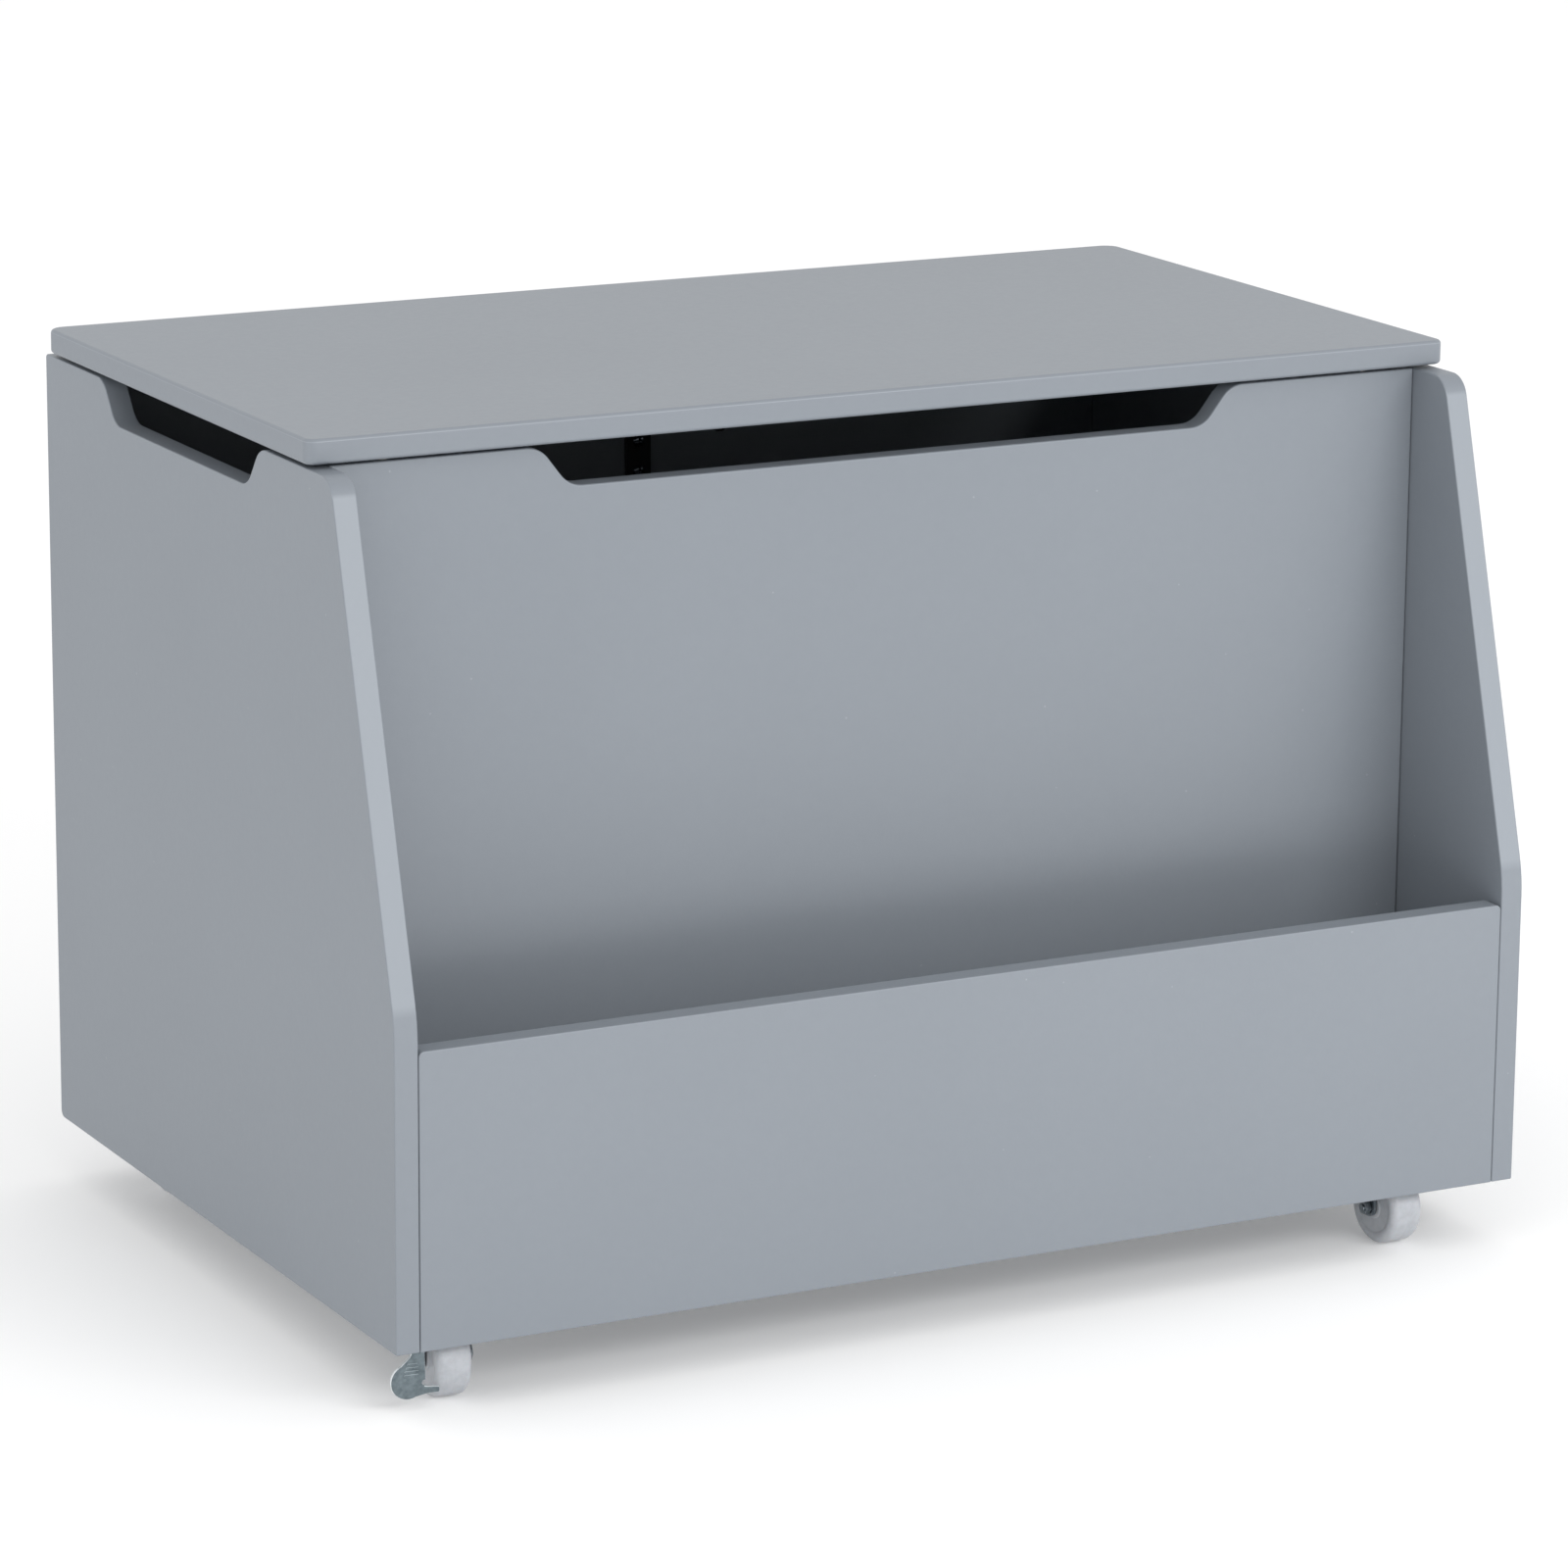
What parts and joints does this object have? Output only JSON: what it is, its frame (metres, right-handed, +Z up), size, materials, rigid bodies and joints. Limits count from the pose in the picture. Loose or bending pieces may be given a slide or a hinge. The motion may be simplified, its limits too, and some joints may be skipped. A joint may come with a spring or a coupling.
{
  "type": "toy box",
  "caption": "Painted-board toy box with a hinged lid, hand notches, a low book bin in front, sloped sides, a lid stay and swivel castors with brake pedals.",
  "frame": {"origin": "centre of the footprint on the floor, at the underside of the wheels", "axes": "+Z up; the book bin faces -Y; +X to the right of someone facing the back, along the lid"},
  "size_m": [0.7646, 0.528, 0.5516],
  "materials": {
    "paint": "satin grey-blue paint over smooth fibreboard",
    "zinc_steel": "bright zinc plating",
    "black_steel": "black powder coat",
    "wheel_nylon": "white moulded plastic, lightly glossy",
    "bumper_rubber": "soft off-white"
  },
  "bodies": {
    "carcass": {"left_side_panel": "paint", "right_side_panel": "paint", "back_panel": "paint", "inner_front_panel": "paint", "bin_front_panel": "paint", "bottom_panel": "paint", "cam_back_left": "zinc_steel", "cam_back_right": "zinc_steel", "cam_inner_left": "zinc_steel", "cam_inner_right": "zinc_steel", "cam_bin_left": "zinc_steel", "cam_bin_right": "zinc_steel", "cam_bolt_back_left": "zinc_steel", "cam_bolt_back_right": "zinc_steel", "cam_bolt_inner_left": "zinc_steel", "cam_bolt_inner_right": "zinc_steel", "cam_bolt_bin_left": "zinc_steel", "cam_bolt_bin_right": "zinc_steel", "bumper_left": "bumper_rubber", "bumper_right": "bumper_rubber", "hinge_left_box_leaf": "black_steel", "hinge_right_box_leaf": "black_steel", "hinge_left_pin": "zinc_steel", "hinge_right_pin": "zinc_steel", "stay_base_bracket": "black_steel", "stay_rivet_box": "zinc_steel", "castor_front_left_plate": "zinc_steel", "castor_front_left_kingpin": "zinc_steel", "castor_front_right_plate": "zinc_steel", "castor_front_right_kingpin": "zinc_steel", "castor_rear_left_plate": "zinc_steel", "castor_rear_left_kingpin": "zinc_steel", "castor_rear_right_plate": "zinc_steel", "castor_rear_right_kingpin": "zinc_steel"},
    "lid": {"lid_panel": "paint", "hinge_left_lid_leaf": "black_steel", "hinge_right_lid_leaf": "black_steel", "stay_lid_bracket": "black_steel", "stay_rivet_lid": "zinc_steel"},
    "stay_arm": {"stay_arm": "black_steel", "stay_rivet_elbow": "zinc_steel"},
    "stay_link": {"stay_link": "black_steel"},
    "castor_front_left_fork": {"castor_front_left_fork": "zinc_steel", "castor_front_left_axle": "zinc_steel", "castor_front_left_pedal_pin": "zinc_steel"},
    "castor_front_left_wheel": {"castor_front_left_wheel": "wheel_nylon"},
    "castor_front_left_pedal": {"castor_front_left_pedal": "zinc_steel"},
    "castor_front_right_fork": {"castor_front_right_fork": "zinc_steel", "castor_front_right_axle": "zinc_steel"},
    "castor_front_right_wheel": {"castor_front_right_wheel": "wheel_nylon"},
    "castor_rear_left_fork": {"castor_rear_left_fork": "zinc_steel", "castor_rear_left_axle": "zinc_steel"},
    "castor_rear_left_wheel": {"castor_rear_left_wheel": "wheel_nylon"},
    "castor_rear_right_fork": {"castor_rear_right_fork": "zinc_steel", "castor_rear_right_axle": "zinc_steel", "castor_rear_right_pedal_pin": "zinc_steel"},
    "castor_rear_right_wheel": {"castor_rear_right_wheel": "wheel_nylon"},
    "castor_rear_right_pedal": {"castor_rear_right_pedal": "zinc_steel"}
  },
  "joints": [
    {"name": "lid_hinge", "type": "hinge", "parent": "carcass", "child": "lid", "pos_m": [0, 0.2612, 0.5353], "axis": [-1, 0, 0], "range_deg": [0, 88]},
    {"name": "stay_arm_pivot", "type": "hinge", "parent": "carcass", "child": "stay_arm", "pos_m": [0.019, 0.232, 0.492], "axis": [-1, 0, 0], "range_deg": [0, 88]},
    {"name": "stay_link_pivot", "type": "hinge", "parent": "stay_arm", "child": "stay_link", "pos_m": [0.0215, 0.122, 0.482], "axis": [-1, 0, 0], "range_deg": [-88, 0]},
    {"name": "castor_front_left_swivel", "type": "hinge", "parent": "carcass", "child": "castor_front_left_fork", "pos_m": [-0.3348, -0.2196, 0.057], "axis": [0, 0, 1], "continuous": true},
    {"name": "castor_front_left_wheel_spin", "type": "hinge", "parent": "castor_front_left_fork", "child": "castor_front_left_wheel", "pos_m": [-0.33558, -0.22857, 0.0235], "axis": [0.9962, -0.0872, 0], "continuous": true},
    {"name": "castor_front_left_pedal_press", "type": "hinge", "parent": "castor_front_left_fork", "child": "castor_front_left_pedal", "pos_m": [-0.35559, -0.22782, 0.0363], "axis": [0.9962, -0.0872, 0], "range_deg": [0, 7]},
    {"name": "castor_front_right_swivel", "type": "hinge", "parent": "carcass", "child": "castor_front_right_fork", "pos_m": [0.311, -0.2196, 0.057], "axis": [0, 0, 1], "continuous": true},
    {"name": "castor_front_right_wheel_spin", "type": "hinge", "parent": "castor_front_right_fork", "child": "castor_front_right_wheel", "pos_m": [0.31131, -0.22859, 0.0235], "axis": [0.9994, 0.0349, 0], "continuous": true},
    {"name": "castor_rear_left_swivel", "type": "hinge", "parent": "carcass", "child": "castor_rear_left_fork", "pos_m": [-0.325, 0.206, 0.057], "axis": [0, 0, 1], "continuous": true},
    {"name": "castor_rear_left_wheel_spin", "type": "hinge", "parent": "castor_rear_left_fork", "child": "castor_rear_left_wheel", "pos_m": [-0.325, 0.197, 0.0235], "axis": [1, 0, 0], "continuous": true},
    {"name": "castor_rear_right_swivel", "type": "hinge", "parent": "carcass", "child": "castor_rear_right_fork", "pos_m": [0.325, 0.206, 0.057], "axis": [0, 0, 1], "continuous": true},
    {"name": "castor_rear_right_wheel_spin", "type": "hinge", "parent": "castor_rear_right_fork", "child": "castor_rear_right_wheel", "pos_m": [0.325, 0.197, 0.0235], "axis": [1, 0, 0], "continuous": true},
    {"name": "castor_rear_right_pedal_press", "type": "hinge", "parent": "castor_rear_right_fork", "child": "castor_rear_right_pedal", "pos_m": [0.345, 0.196, 0.0363], "axis": [1, 0, 0], "range_deg": [0, 7]}
  ],
  "couplings": [
    {"joint": "stay_arm_pivot", "follows": "lid_hinge", "ratio": 1},
    {"joint": "stay_link_pivot", "follows": "lid_hinge", "ratio": -1}
  ]
}
